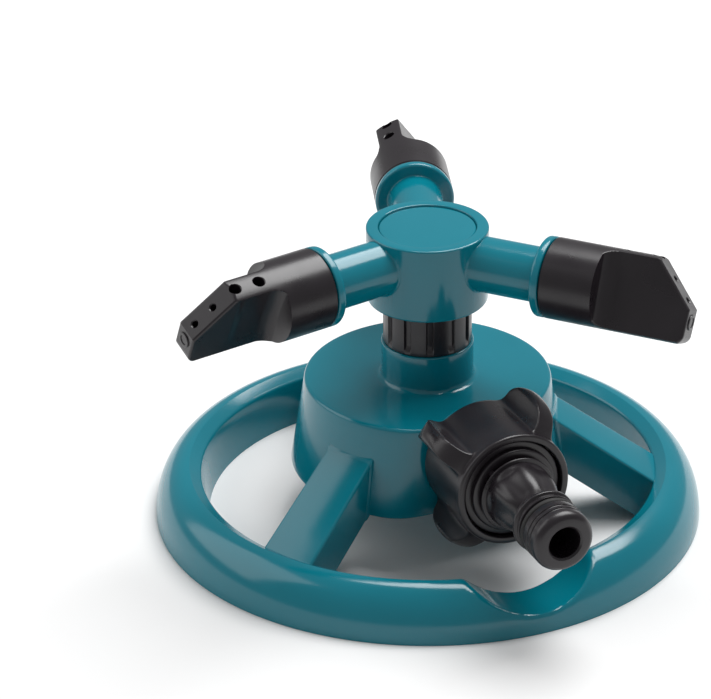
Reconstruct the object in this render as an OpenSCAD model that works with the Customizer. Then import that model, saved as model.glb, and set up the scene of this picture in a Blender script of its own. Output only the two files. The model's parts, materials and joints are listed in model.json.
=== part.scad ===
// Three-arm rotary garden sprinkler on a ring base, with a quick-connect hose inlet.
// Millimetres. Origin: centre of the ring on the ground. +Z up, the hose inlet points along -Y.

/* [Ring base] */
// Outer radius of the ring at the ground
ring_outer_r = 75; // [65:1:95]
// Inner radius of the ring at the ground
ring_inner_r = 60.3; // [52:0.1:63]
// Radius of the line along the top of the ring
ring_crown_r = 65.5; // [64:0.1:70]
// Height of the ring
ring_crown_h = 14.2; // [11:0.1:20]
// Radius of the inner top edge of the ring
ring_lip_r = 62.2; // [61:0.1:64]
// Drop from the top of the ring to its inner top edge
ring_lip_drop = 1.8; // [0.5:0.1:3]
// Wall thickness of the hollow ring
ring_wall = 2.2; // [1.5:0.1:3]
// Radius of the scoop that clears the hose coupling
scoop_r = 22.5; // [18:0.5:26]
// Height left under the scoop
scoop_floor_h = 5.4; // [3.5:0.1:8]

/* [Legs] */
// Angle from the inlet to the left leg
leg_left_deg = 60.6; // [55:0.1:75]
// Angle from the inlet to the right leg
leg_right_deg = 64.4; // [55:0.1:75]
// Width of a leg at the housing
leg_hub_w = 14.4; // [10:0.1:18]
// Width of a leg at the ring
leg_rim_w = 16; // [10:0.1:20]
// Drop from the housing top to the top of a leg
leg_drop = 10.1; // [6:0.1:14]
// Depth of a leg, top to bottom, at the housing
leg_depth = 16.1; // [8:0.1:18]
// Wall thickness of a leg
leg_wall = 2; // [1.5:0.1:3]

/* [Housing] */
// Outer radius of the housing at its top
housing_top_r = 33.5; // [30:0.5:38]
// Outer radius of the housing at its lower edge
housing_low_r = 37.5; // [34:0.5:42]
// Height of the housing top above the ground
housing_top_z = 40.8; // [36:0.1:50]
// Height of the housing from its lower edge to its top
housing_h = 25.3; // [22:0.1:30]
// Wall thickness of the housing
housing_wall = 2.4; // [1.5:0.1:4]
// Distance from the axis to the flat inlet face
inlet_face = 30.7; // [28:0.1:33]
// Outer radius of the neck
neck_r = 12.5; // [11.5:0.1:14]
// Height of the neck above the housing
neck_h = 10.8; // [8:0.1:16]

/* [Inlet] */
// Drop from the housing top to the inlet axis
inlet_drop = 8.3; // [7.5:0.1:12]
// Outer radius of the threaded spigot, drawn plain
spigot_r = 13.2; // [12:0.1:14]
// Length of the spigot
spigot_len = 12.3; // [9:0.1:16]
// Radius of the water way through the spigot
inlet_bore_r = 6.3; // [4:0.1:6.5]
// Thickness of the flat inlet washer
inlet_washer_t = 2; // [1:0.1:3]

/* [Coupling nut] */
// Wall of the nut outside the spigot
nut_wall = 2.4; // [1.8:0.1:4]
// Width of a grip lobe
nut_lobe_w = 5.6; // [4:0.1:7]
// Radius of the hollow at the foot of a grip lobe
nut_lobe_foot_r = 4.2; // [3:0.1:5]
// Number of grip lobes
nut_lobes = 4; // [3:1:6]
// Turn of the lobes about the inlet axis
nut_phase_deg = 55; // [0:1:90]
// Length of the nut
nut_len = 22; // [20:0.1:26]

/* [Hose nipple] */
// Radius of the nipple's water way
nipple_bore_r = 4.4; // [3:0.1:5]
// Radius of the nipple's nose
nose_r = 8.4; // [7.5:0.1:9]
// Length of the nipple in front of the nut
nose_len = 30.6; // [26:0.1:36]
// Radius of the nipple's shoulder
shoulder_r = 10.4; // [9.5:0.1:11]
// Radius of the nipple's front flange
nipple_flange_r = 13.6; // [12.5:0.1:13.8]

/* [Rotor] */
// Outer radius of the hub
hub_r = 16.4; // [15.5:0.1:20]
// Height of the hub
hub_h = 21; // [20:0.1:26]
// Height of the black collar between neck and hub
collar_h = 11.8; // [9:0.1:16]
// Outer radius of the collar
collar_r = 12; // [11:0.1:12.5]
// Drop from the hub top to the axis of the arms
arm_drop = 8.1; // [7.8:0.1:10]
// Outer radius of an arm
arm_r = 7.5; // [6.5:0.1:7.8]
// Radius of the water way through an arm
arm_bore_r = 4.5; // [3:0.1:5]
// Reach of an arm from the axis to the face of its flange
arm_reach = 36; // [30:0.5:45]
// Turn of the rotor about the axis as it stands
rotor_rest_deg = -48.4; // [-180:0.1:180]

/* [Nozzles] */
// Outer radius of a nozzle
nozzle_r = 10.9; // [10.2:0.1:13]
// Length of the round part of a nozzle
nozzle_barrel_len = 15.4; // [14:0.1:20]
// Length of the flat spray blade
blade_len = 24.4; // [20:0.1:30]
// Thickness of the spray blade
blade_t = 7.2; // [6:0.1:9]
// Radius of the two larger jets
jet_large_r = 1.6; // [1:0.1:2]
// Radius of the two smaller jets
jet_small_r = 0.9; // [0.5:0.1:1.2]
// Lean of each nozzle about its arm: right, rear, left
nozzle_lean_deg = [24, 28, 26];

/* [Fits] */
// Radial running clearance of a turning fit
run_gap = 0.06; // [0.01:0.01:0.1]
// Gap between faces that move past each other
face_gap = 0.3; // [0.2:0.05:0.5]

/* [Hidden] */
$fn = 96;

// Heights
ring_lip_h = ring_crown_h - ring_lip_drop;
housing_low_z = housing_top_z - housing_h;
inlet_z = housing_top_z - inlet_drop;
neck_top_z = housing_top_z + neck_h;
collar_top_z = neck_top_z + collar_h;
washer_t = 0.6;
hub_low_z = collar_top_z + washer_t + 0.05;
hub_top_z = hub_low_z + hub_h;
arm_z = hub_top_z - arm_drop;
scoop_z = scoop_floor_h + scoop_r;

// Housing
edge_r = 1;
housing_slope = (housing_low_r - housing_top_r) / housing_h;
water_wall = 2.4;
socket_r = 9;
socket_depth = 8.6;
riser_r = 5.4;
boss_r = 14;
boss_slope_deg = 50;

// Inlet stack, as distances from the axis along the inlet
spigot_end = inlet_face + spigot_len;
nut_back = inlet_face + 2.5;
nut_front = nut_back + nut_len;
washer_back = spigot_end + 0.1;
washer_front = washer_back + inlet_washer_t;
nipple_back = washer_front;
bead_len = 2.1;
lip_back = nipple_back + bead_len + 0.2;
lip_len = 3.4;
lip_front = lip_back + lip_len;
flange_back = lip_front + 0.2;
flange_t = 2.9;
nipple_tube_r = 9.4;
bead_r = 10.3;
tip = nut_front + nose_len;
o_ring_r = 0.9;

// Spindle
journal_r = 6;
chamber_r = 11;
chamber_low = 5;
deck_t = 2;
deck_z = arm_z + 1.6;
stub_r = 4;
riser_bore_r = 3.2;
port_r = 2.1;
port_z = hub_low_z + chamber_low + port_r + 0.5;
screw_r = 1.5;
screw_len = 5.4;
screw_head_r = 3.1;
screw_head_h = 1.5;
pocket_r = 8.6;
cap_r = 13.1;
cap_t = 1.6;
cap_sink = 0.4;
stub_top_z = deck_z + deck_t + 0.1;
top_washer_t = 0.7;

// Nozzle fit on the arm
flange_w = 2.4;
flange_r = nozzle_r - 0.3;
spigot_arm_r = arm_r + 0.1;
spigot_arm_len = 11;
bead_at = 8.6;
bead_out = 0.55;
seal_at = 4;
channel_t = 2.6;
blade_wall = 1.8;

// ---------- helpers ----------

// Puts a child drawn along +Z onto the inlet axis, pointing out along -Y.
module on_inlet() translate([0, 0, inlet_z]) rotate([90, 0, 0]) children();

// Puts a child drawn along +X onto arm number i.
module on_arm(i) translate([0, 0, arm_z]) rotate([0, 0, rotor_rest_deg + 120 * i]) children();

// A child drawn along +Z, turned to lie along +X.
module along_x() rotate([0, 90, 0]) children();

// A tube from height a to height b.
module tube(r_out, r_in, a, b) translate([0, 0, a]) difference() {
    cylinder(r = r_out, h = b - a);
    translate([0, 0, -1]) cylinder(r = r_in, h = b - a + 2);
}

// A solid cylinder from height a to height b.
module rod(r, a, b) translate([0, 0, a]) cylinder(r = r, h = b - a);

// An O-ring whose round section of radius s sits on a groove floor of radius r.
module o_ring(r, s) rotate_extrude() translate([r + s, 0]) circle(r = s, $fn = 32);

// Points of an arc about c from angle a to angle b in n steps.
function arc(c, rx, ry, a, b, n) =
    [for (k = [0:n]) let (t = a + (b - a) * k / n) [c[0] + rx * cos(t), c[1] + ry * sin(t)]];

// ---------- base ----------

// Half section of the ring, made smaller all round by inset.
function ring_section(inset, floor_z) = concat(
    [[ring_inner_r + inset, floor_z], [ring_outer_r - inset, floor_z]],
    arc([ring_crown_r, 0], ring_outer_r - ring_crown_r - inset, ring_crown_h - inset, 0, 90, 10),
    [[ring_lip_r + inset, ring_lip_h - inset]]);

module scoop(extra) translate([0, 0, scoop_z]) rotate([90, 0, 0])
    rod(scoop_r + extra, ring_inner_r - 12, ring_outer_r + 1);

// The hollow ring, open underneath, with a skin under the scoop.
module ring() difference() {
    rotate_extrude() polygon(ring_section(0, 0));
    difference() {
        rotate_extrude() polygon(ring_section(ring_wall, -1));
        scoop(ring_wall);
    }
    scoop(0);
}

function housing_r(z) = housing_top_r + (housing_top_z - z) * housing_slope;

// One leg along +X: a sloping channel, open underneath.
module leg() {
    hub_r_top = housing_r(housing_top_z - leg_drop);
    top_hub = [hub_r_top, housing_top_z - leg_drop];
    top_slope = (top_hub[1] - ring_lip_h) / (ring_lip_r - top_hub[0]);
    low_hub = [housing_r(housing_low_z), housing_top_z - leg_drop - leg_depth];
    low_rim_r = ring_inner_r - 0.8;
    sink = 1.7;
    length = ring_lip_r + sink;
    function top(r) = top_hub[1] - (r - top_hub[0]) * top_slope;
    difference() {
        intersection() {
            leg_side([[hub_r_top - sink, top(hub_r_top - sink)], [length, top(length)],
                      [ring_inner_r + sink, 0], [low_rim_r, 0], [low_hub[0] - sink, low_hub[1]]], leg_rim_w + 4);
            leg_plan(0);
        }
        intersection() {
            leg_side([[hub_r_top, top(hub_r_top) - leg_wall], [ring_inner_r, top(ring_inner_r) - leg_wall],
                      [ring_inner_r, -1], [low_hub[0], -1]], leg_rim_w + 4);
            leg_plan(leg_wall);
        }
    }
}

module leg_side(points, w) translate([0, w / 2, 0]) rotate([90, 0, 0]) linear_extrude(height = w) polygon(points);

module leg_plan(inset) translate([0, 0, -2]) linear_extrude(height = housing_top_z) polygon([
    [housing_top_r - 4, -leg_hub_w / 2 + inset], [ring_lip_r + 4, -leg_rim_w / 2 + inset],
    [ring_lip_r + 4, leg_rim_w / 2 - inset], [housing_top_r - 4, leg_hub_w / 2 - inset]]);

// Half section of the housing, made smaller by inset; its top edge is rounded.
function housing_section(inset, floor_z) = concat(
    [[0, floor_z], [housing_r(floor_z) - inset, floor_z]],
    arc([housing_top_r - edge_r - inset, housing_top_z - edge_r - inset], edge_r, edge_r, 0, 90, 6),
    [[0, housing_top_z - inset]]);

// Everything on the housing's side of the flat inlet face.
module behind_face(y) translate([-60, -y, -10]) cube([120, 120, 80]);

module housing_shell() difference() {
    intersection() {
        rotate_extrude() polygon(housing_section(0, housing_low_z));
        behind_face(inlet_face);
    }
    intersection() {
        rotate_extrude() polygon(housing_section(housing_wall, housing_low_z - 1));
        behind_face(inlet_face - housing_wall);
    }
}

// The neck, with a small fillet at its foot and a raised rim.
module neck_body() rotate_extrude() polygon(concat(
    [[0, housing_top_z - housing_wall], [neck_r + 1.4, housing_top_z - housing_wall],
     [neck_r + 1.4, housing_top_z]],
    arc([neck_r + 1.4, housing_top_z + 1.4], 1.4, 1.4, 270, 180, 5),
    [[neck_r, neck_top_z - 0.4], [neck_r - 0.4, neck_top_z], [0, neck_top_z]]));

// The round boss behind the spigot, sloped back down to the housing top.
module boss() difference() {
    on_inlet() rod(boss_r, inlet_face - 13, inlet_face);
    translate([-boss_r - 1, -inlet_face + 1.2, inlet_z + boss_r])
        rotate([-boss_slope_deg, 0, 0]) cube([2 * boss_r + 2, 40, 40]);
    translate([-boss_r - 1, -inlet_face, housing_low_z - 20])
        cube([2 * boss_r + 2, 40, 20 + inlet_z - housing_low_z]);
}

module base_frame() color("darkcyan") difference() {
    union() {
        ring();
        for (a = [-90 - leg_left_deg, -90 + leg_right_deg, 90]) rotate([0, 0, a]) leg();
        housing_shell();
        neck_body();
        rod(riser_r + water_wall, inlet_z - inlet_bore_r - water_wall, housing_top_z);
        rod(socket_r + water_wall, neck_top_z - socket_depth - 3, neck_top_z - 1);
        on_inlet() rod(inlet_bore_r + water_wall - 0.6, 0, inlet_face);
        boss();
        on_inlet() rod(spigot_r, inlet_face, spigot_end);
    }
    rod(riser_r, inlet_z, neck_top_z - 1);
    rod(socket_r, neck_top_z - socket_depth, neck_top_z + 1);
    on_inlet() rod(inlet_bore_r, 0, spigot_end + 1);
}

// ---------- fixed centre ----------

module spindle() color("dimgray") difference() {
    union() {
        rod(socket_r, neck_top_z - socket_depth + 0.4, neck_top_z);
        rod(collar_r, neck_top_z, collar_top_z);
        rod(journal_r, collar_top_z, hub_low_z + chamber_low);
        rod(journal_r - 0.8, hub_low_z + chamber_low, deck_z - 0.3);
        rod(stub_r, deck_z - 0.3, stub_top_z);
    }
    // grip slots round the collar
    for (k = [0:11]) rotate([0, 0, 30 * k]) translate([collar_r - 0.7, -1, neck_top_z + 1.6])
        cube([2, 2, collar_h - 2.6]);
    // grooves for the neck seal and the two hub seals
    seal_groove(neck_top_z - 3, socket_r, 1);
    seal_groove(hub_low_z + 1.5, journal_r, o_ring_r);
    seal_groove(hub_low_z + 3.7, journal_r, o_ring_r);
    // water way and its four ports
    rod(riser_bore_r, neck_top_z - socket_depth, port_z + port_r + 0.2);
    for (a = [0, 90]) translate([0, 0, port_z]) rotate([0, 90, a])
        cylinder(r = port_r, h = 4 * journal_r, center = true);
    // screw hole
    rod(screw_r, stub_top_z - screw_len, stub_top_z + 1);
}

module seal_groove(z, r, s) translate([0, 0, z - s - 0.1]) difference() {
    cylinder(r = r + 1, h = 2 * s + 0.2);
    translate([0, 0, -1]) cylinder(r = r - 1.8 * s, h = 2 * s + 2.2);
}

// An O-ring squeezed so that it just fills its groove out to radius r.
module seal(z, r, s) translate([0, 0, z]) rotate_extrude() translate([r - 0.9 * s, 0])
    intersection() {
        circle(r = s, $fn = 32);
        square([1.8 * s, 2 * s], center = true);
    }

module neck_seal() color("black") seal(neck_top_z - 3, socket_r, 1);
module hub_seal_lower() color("black") seal(hub_low_z + 1.5, journal_r, o_ring_r);
module hub_seal_upper() color("black") seal(hub_low_z + 3.7, journal_r, o_ring_r);

module thrust_washer() color("ivory")
    tube(collar_r - 1, journal_r + 0.1, collar_top_z, collar_top_z + washer_t);

module retaining_washer() color("silver")
    tube(stub_r + 2.6, screw_r + 0.1, stub_top_z, stub_top_z + top_washer_t);

module retaining_screw() color("silver") {
    head_z = stub_top_z + top_washer_t;
    difference() {
        union() {
            rod(screw_r, stub_top_z - screw_len + 0.4, head_z);
            rod(screw_head_r, head_z, head_z + screw_head_h);
        }
        for (a = [0, 90]) rotate([0, 0, a]) translate([-1.9, -0.4, head_z + screw_head_h - 0.9]) cube([3.8, 0.8, 2]);
    }
}

// ---------- rotor ----------

// The round-edged flange at the end of an arm.
module flange() rotate_extrude() polygon(concat([[0, arm_reach - flange_w]],
    arc([flange_r - 1.1, arm_reach - flange_w + 1.1], 1.1, 1.1, -90, 0, 5),
    arc([flange_r - 0.5, arm_reach - 0.5], 0.5, 0.5, 0, 90, 3), [[0, arm_reach]]));

module rotor_hub() color("darkcyan") difference() {
    union() {
        rod(hub_r, hub_low_z, hub_top_z);
        for (i = [0:2]) on_arm(i) along_x() {
            rod(arm_r, 0, arm_reach);
            flange();
            rod(spigot_arm_r, arm_reach, arm_reach + spigot_arm_len);
            // snap bead that holds the nozzle on
            rod(spigot_arm_r + bead_out, arm_reach + bead_at - 0.5, arm_reach + bead_at + 0.5);
        }
    }
    rod(journal_r + run_gap, hub_low_z - 1, hub_low_z + chamber_low + 1);
    rod(chamber_r, hub_low_z + chamber_low, deck_z);
    rod(stub_r + run_gap, deck_z - 1, deck_z + deck_t + 1);
    rod(pocket_r, deck_z + deck_t, hub_top_z + 1);
    rod(cap_r, hub_top_z - cap_sink - cap_t, hub_top_z + 1);
    for (i = [0:2]) on_arm(i) along_x() {
        rod(arm_bore_r, chamber_r - 0.4, arm_reach + spigot_arm_len + 1);
        translate([0, 0, arm_reach]) seal_groove(seal_at, spigot_arm_r, o_ring_r);
    }
}

module hub_cap() color("darkcyan") difference() {
    rod(cap_r, hub_top_z - cap_sink - cap_t, hub_top_z - cap_sink);
    rod(screw_head_r + 1.5, hub_top_z - cap_sink - cap_t - 1, hub_top_z - cap_sink - 0.9);
}

module nozzle_seal(i) color("black") on_arm(i) along_x()
    translate([0, 0, arm_reach]) seal(seal_at, spigot_arm_r, o_ring_r);

module nozzle_seal_right() nozzle_seal(0);
module nozzle_seal_rear() nozzle_seal(1);
module nozzle_seal_left() nozzle_seal(2);

// Outline of the blade seen flat on, made smaller all round by about inset.
blade_start = arm_reach + face_gap + nozzle_barrel_len;
bevel_start = blade_start + 0.56 * blade_len;
bevel_drop = 12.3;
blade_tip = blade_start + blade_len;
tip_back = 0.4;
corner_r = 2.8;
cove_r = 5;
cove_in = 1.2;
cove_len = 2.6;

function blade_outline(inset) = let (r = nozzle_r - inset, x1 = blade_tip - inset) concat(
    [[blade_start - 2, -r], [blade_start - 2, r], [bevel_start - 0.4 * inset, r],
     [x1, r - bevel_drop + 0.4 * inset]],
    arc([x1 - tip_back - corner_r, -r + corner_r], corner_r, corner_r, 0, -90, 6));

module blade_prism(inset, t) translate([0, t / 2, 0]) rotate([90, 0, 0])
    linear_extrude(height = t) polygon(blade_outline(inset));

// A jet hole through the sloping face, at share f of the way down the bevel.
module bevel_jet(f, r) {
    run = blade_tip - bevel_start;
    translate([bevel_start + f * run, 0, nozzle_r - f * bevel_drop])
        rotate([0, atan2(bevel_drop, run), 0]) translate([0, 0, -5]) cylinder(r = r, h = 9, $fn = 32);
}

// The side of the barrel's end, hollowed out down to the blade; drawn for one side of the blade.
module cove() translate([blade_start + cove_r - cove_in, blade_t / 2 + cove_r, 0])
    cylinder(r = cove_r, h = 3 * nozzle_r, center = true);

// One nozzle along +X: a barrel that turns on the arm, and a flat blade with four jets.
module nozzle_body() {
    inside = arm_reach + spigot_arm_len + 0.6;
    bead_x = arm_reach + bead_at;
    difference() {
        union() {
            difference() {
                along_x() rod(nozzle_r, arm_reach + face_gap, blade_start + cove_len);
                for (side = [0, 1]) mirror([0, side, 0]) {
                    cove();
                    translate([blade_start + cove_r - cove_in, blade_t / 2, -2 * nozzle_r])
                        cube([cove_r, 2 * nozzle_r, 4 * nozzle_r]);
                }
            }
            intersection() {
                along_x() rod(nozzle_r, blade_start - 1, blade_tip + 1);
                blade_prism(0, blade_t);
            }
            // gate mark on the tip
            translate([blade_tip - 1.4, 0, nozzle_r - bevel_drop - 2.6]) along_x() cylinder(r = 2, h = 1.6, $fn = 32);
        }
        along_x() rod(spigot_arm_r + run_gap, arm_reach - 1, inside);
        along_x() rod(spigot_arm_r + bead_out + run_gap, bead_x - 0.8, bead_x + 0.8);
        intersection() {
            blade_prism(blade_wall, channel_t);
            translate([inside - 3, -5, -nozzle_r]) cube([60, 10, 2 * nozzle_r]);
        }
        translate([inside - 1, -channel_t / 2, -arm_bore_r]) cube([8, channel_t, 2 * arm_bore_r]);
        translate([blade_start + 5, 0, nozzle_r - 5]) cylinder(r = jet_large_r, h = 6, $fn = 32);
        translate([bevel_start - 1, 0, nozzle_r - 5]) cylinder(r = jet_large_r, h = 6, $fn = 32);
        bevel_jet(0.42, jet_small_r);
        bevel_jet(0.82, jet_small_r);
    }
}

module nozzle(i) color("dimgray") on_arm(i) rotate([-nozzle_lean_deg[i], 0, 0]) nozzle_body();

module nozzle_right() nozzle(0);
module nozzle_rear() nozzle(1);
module nozzle_left() nozzle(2);

// ---------- hose inlet ----------

module inlet_washer() color("black") on_inlet()
    tube(spigot_r - 0.4, inlet_bore_r + 0.7, washer_back, washer_front);

// A perforated screen that sits in the washer.
module inlet_filter() color("silver") on_inlet() difference() {
    rod(inlet_bore_r + 0.7, washer_back + 0.6, washer_back + 1.4);
    for (ring = [1:2], k = [0:6 * ring - 1]) rotate([0, 0, 60 * k / ring]) translate([2.4 * ring, 0, spigot_end])
        cylinder(r = 0.75, h = 3, $fn = 16);
    rod(0.75, spigot_end, spigot_end + 3);
}

nut_base_r = spigot_r + nut_wall;
foot_y = nut_lobe_w / 2 + nut_lobe_foot_r;
foot_x = sqrt((nut_base_r + nut_lobe_foot_r) * (nut_base_r + nut_lobe_foot_r) - foot_y * foot_y);
nut_grip_r = foot_x + nut_lobe_w / 2;
front_r = 16.3;

// Grip outline: a circle with round-topped lobes, each with a hollow foot on both sides.
module grip_outline() {
    circle(r = nut_base_r);
    for (k = [0:nut_lobes - 1]) rotate(nut_phase_deg + k * 360 / nut_lobes) {
        translate([foot_x, 0]) circle(r = nut_lobe_w / 2);
        difference() {
            polygon([[0, 0], [foot_x, -foot_y], [foot_x, foot_y]]);
            translate([foot_x, foot_y]) circle(r = nut_lobe_foot_r);
            translate([foot_x, -foot_y]) circle(r = nut_lobe_foot_r);
        }
    }
}

module coupling_nut() color("dimgray") on_inlet() difference() {
    union() {
        rotate_extrude() polygon([[0, nut_back], [nut_base_r, nut_back], [front_r, nut_front - 3],
            [front_r, nut_front - 1], [front_r - 1, nut_front], [0, nut_front]]);
        intersection() {
            translate([0, 0, nut_back]) linear_extrude(height = nut_len) grip_outline();
            rotate_extrude() polygon(concat([[0, nut_back], [nut_grip_r - 1.2, nut_back]],
                arc([front_r - 2, nut_back + 1.5], nut_grip_r - front_r + 2, nut_len - 2.5, 0, 90, 12),
                [[0, nut_front - 1]]));
        }
    }
    rod(spigot_r + run_gap, nut_back - 1, washer_front + 0.1);
    rod(bead_r + 0.3, washer_front, lip_back);
    rod(nipple_tube_r + run_gap, lip_back - 1, lip_front + 1);
    rod(nipple_flange_r + face_gap, lip_front, nut_front + 1);
}

// Half section of the nipple, outer side, from back to tip.
module hose_nipple() color("dimgray") on_inlet() {
    step_r = nipple_flange_r - 1.8;
    flange_front = flange_back + flange_t;
    groove_at = tip - 9;
    difference() {
        rotate_extrude() polygon(concat(
            [[nipple_bore_r, nipple_back], [nipple_tube_r, nipple_back], [bead_r, nipple_back + 0.8],
             [bead_r, nipple_back + bead_len], [nipple_tube_r, nipple_back + bead_len],
             [nipple_tube_r, flange_back], [nipple_flange_r, flange_back], [nipple_flange_r, flange_front],
             [step_r, flange_front + 0.6], [step_r, flange_front + 1.6], [shoulder_r - 2, flange_front + 2.2],
             [shoulder_r - 2, flange_front + 3.4]],
            arc([nose_r - 1.4, flange_front + 7], shoulder_r - nose_r + 1.4, 9, -30, 62, 10),
            [[nose_r - 1.2, tip - 14.6], [nose_r - 1.2, tip - 13.4], [nose_r + 0.2, tip - 13], [nose_r + 0.2, tip - 12],
             [nose_r - 0.3, tip - 11.4], [nose_r - 0.3, groove_at - o_ring_r - 0.1],
             [nose_r - 1.8 * o_ring_r, groove_at - o_ring_r - 0.1], [nose_r - 1.8 * o_ring_r, groove_at + o_ring_r + 0.1],
             [nose_r, groove_at + o_ring_r + 0.1], [nose_r, tip - 1.8]],
            arc([nose_r - 1.6, tip - 1.6], 1.6, 1.6, 8, 70, 4),
            [[nipple_bore_r + 0.4, tip], [nipple_bore_r, tip - 0.4]]));
    }
    // four fins between flange and shoulder
    for (a = [45:90:315]) rotate([0, 0, a]) translate([nipple_bore_r + 2, -0.8, flange_front + 1])
        cube([shoulder_r - nipple_bore_r - 2.2, 1.6, 5]);
}

module nipple_seal() color("black") on_inlet() seal(tip - 9, nose_r, o_ring_r);

base_frame();
spindle();
neck_seal();
thrust_washer();
hub_seal_lower();
hub_seal_upper();
retaining_washer();
retaining_screw();
rotor_hub();
hub_cap();
nozzle_right();
nozzle_rear();
nozzle_left();
nozzle_seal_right();
nozzle_seal_rear();
nozzle_seal_left();
inlet_washer();
inlet_filter();
coupling_nut();
hose_nipple();
nipple_seal();
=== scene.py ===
"""Looks of the three-arm rotary sprinkler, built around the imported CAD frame.

Shapes are worked out in millimetres and turned to metres when their mesh is made. Each new piece is a grid of
points from a formula; closed grids are welded and cut into one solid per moulding.
"""

import json
import math

import bmesh
import bpy
import numpy as np
from mathutils import Matrix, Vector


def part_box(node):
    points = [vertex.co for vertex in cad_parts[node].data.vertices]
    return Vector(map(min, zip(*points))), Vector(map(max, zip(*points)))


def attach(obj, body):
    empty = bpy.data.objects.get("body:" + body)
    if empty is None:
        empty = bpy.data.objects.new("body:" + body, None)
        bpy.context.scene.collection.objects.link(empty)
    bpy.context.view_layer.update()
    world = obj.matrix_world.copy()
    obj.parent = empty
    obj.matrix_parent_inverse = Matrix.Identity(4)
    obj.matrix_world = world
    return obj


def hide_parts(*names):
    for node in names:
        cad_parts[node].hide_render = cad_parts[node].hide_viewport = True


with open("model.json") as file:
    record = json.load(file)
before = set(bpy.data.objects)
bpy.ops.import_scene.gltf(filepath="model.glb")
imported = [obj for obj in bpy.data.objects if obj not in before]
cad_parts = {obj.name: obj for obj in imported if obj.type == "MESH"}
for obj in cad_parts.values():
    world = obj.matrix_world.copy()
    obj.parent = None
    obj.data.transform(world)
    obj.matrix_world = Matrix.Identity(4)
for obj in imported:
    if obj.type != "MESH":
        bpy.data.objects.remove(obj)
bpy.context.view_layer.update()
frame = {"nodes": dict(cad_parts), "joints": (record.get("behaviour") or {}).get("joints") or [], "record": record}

MM = 0.001
TURN = 2 * math.pi


# ---------- sizes, from the frame ----------

def box_mm(node):
    """Lowest and highest corner of a CAD node, in millimetres."""
    low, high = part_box(node)
    return np.array(low) / MM, np.array(high) / MM


def joint(name):
    """The named joint of the record."""
    return next(j for j in frame["joints"] if j["name"] == name)


base_high = box_mm("base_frame")[1]
spindle_high = box_mm("spindle")[1]
cap_low, cap_high = box_mm("hub_cap")
nut_low, nut_high = box_mm("coupling_nut")
nipple_low, nipple_high = box_mm("hose_nipple")
seal_low, seal_high = box_mm("nipple_seal")

ring_r = base_high[0]
neck_top = base_high[2]
inlet_z = (seal_low[2] + seal_high[2]) / 2
nose_r = (seal_high[0] - seal_low[0]) / 2
nut_back, nut_front = -nut_high[1], -nut_low[1]
nipple_back, nipple_tip = -nipple_high[1], -nipple_low[1]
cap_r = cap_high[0]
WASHER_GAP = 0.05
HUB_H = 21
hub_base = box_mm("thrust_washer")[1][2] + WASHER_GAP
hub_top = hub_base + HUB_H
arm_z = joint("right_nozzle_twist")["pos_m"][2] / MM
SIDES = ("right", "rear", "left")
arm_turn = {s: math.atan2(*joint(s + "_nozzle_twist")["axis"][1::-1]) for s in SIDES}
# How far each nozzle is turned on its arm
nozzle_lean = {"right": math.radians(24), "rear": math.radians(28), "left": math.radians(26)}

# Sizes of the mouldings that the boxes don't give. A pair is a radius or a reach, and a height.
# The ring's crown, the lip inside it, its inner foot, and the dip under the hose inlet
RING_CROWN_R = 65.5
RING_CROWN_H = 14.2
RING_LIP = (62.2, 12.4)
RING_INNER_R = 60.3
RING_WALL = 2.2
SCOOP_R = 22.5
SCOOP_Z = 27.9
# The housing's skirt and shoulder, its flat inlet face, the neck and the waterways
HOUSING_LOW = (37.5, 15.5)
HOUSING_TOP = (33.5, 40.8)
HOUSING_WALL = 2.4
INLET_FACE = 30.7
NECK_R = 12.5
SOCKET_R = 9
RISER_R = 5.4
INLET_BORE_R = 6.3
WATER_WALL = 2.4
# The boss over the inlet and the threaded spigot in front of it
BOSS_R = 14
SPIGOT_R = 13.2
SPIGOT_END = 43
THREAD_PITCH = 1.814
THREAD_DEPTH = 1.16
# Legs, in degrees about the axis
LEG_ANGLES = (-150.6, -25.6, 90)
LEG_TOP = (35.1, 30.7)
LEG_LOW = (37.5, 14.6)
LEG_WALL = 2
COLLAR_R = 12
COLLAR_H = 11.8
# Hub and arms. The seal, the snap bead and the end of each arm are reaches along it
HUB_R = 16.4
ARM_R = 7.5
ARM_BORE_R = 4.5
ARM_REACH = 36
FLANGE_R = 10.9
SPIGOT_ARM_R = 7.6
ARM_SEAL = ARM_REACH + 4
ARM_BEAD = ARM_REACH + 8.6
ARM_END = ARM_REACH + 11
# Nozzles: a barrel, a hollow cove that narrows it to a blade, and a bevel down to the tip
NOZZLE_R = 10.9
BARREL_END = 51.2
COVE_R = 5
BLADE_HALF = 3.6
WEB_STEP = 0.75
BLADE_EDGE_R = 0.7
BEVEL_START = 65.4
BEVEL_END = (76.1, -1.4)
TIP_FOOT = (75.7, -8.1)
TIP_CORNER_R = 2.8


# ---------- shape helpers ----------

def soft_min(a, b, k):
    """The smaller of a and b, with the corner where they cross rounded over a width k."""
    blend = np.maximum(k - np.abs(a - b), 0) / k
    return np.minimum(a, b) - blend * blend * k / 4


def soft_max(a, b, k):
    """The larger of a and b, with the corner where they cross rounded over a width k."""
    return -soft_min(-a, -b, k)


def ease(t):
    """0 below 0, 1 above 1, and a smooth step between."""
    t = np.clip(t, 0, 1)
    return t * t * (3 - 2 * t)


def arc(centre, radius, start, end, count):
    """Points of an arc about centre, from angle start to end in degrees; radius may be a pair."""
    rx, ry = (radius, radius) if np.isscalar(radius) else radius
    t = np.radians(np.linspace(start, end, count))
    return np.stack([centre[0] + rx * np.cos(t), centre[1] + ry * np.sin(t)], -1)


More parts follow.
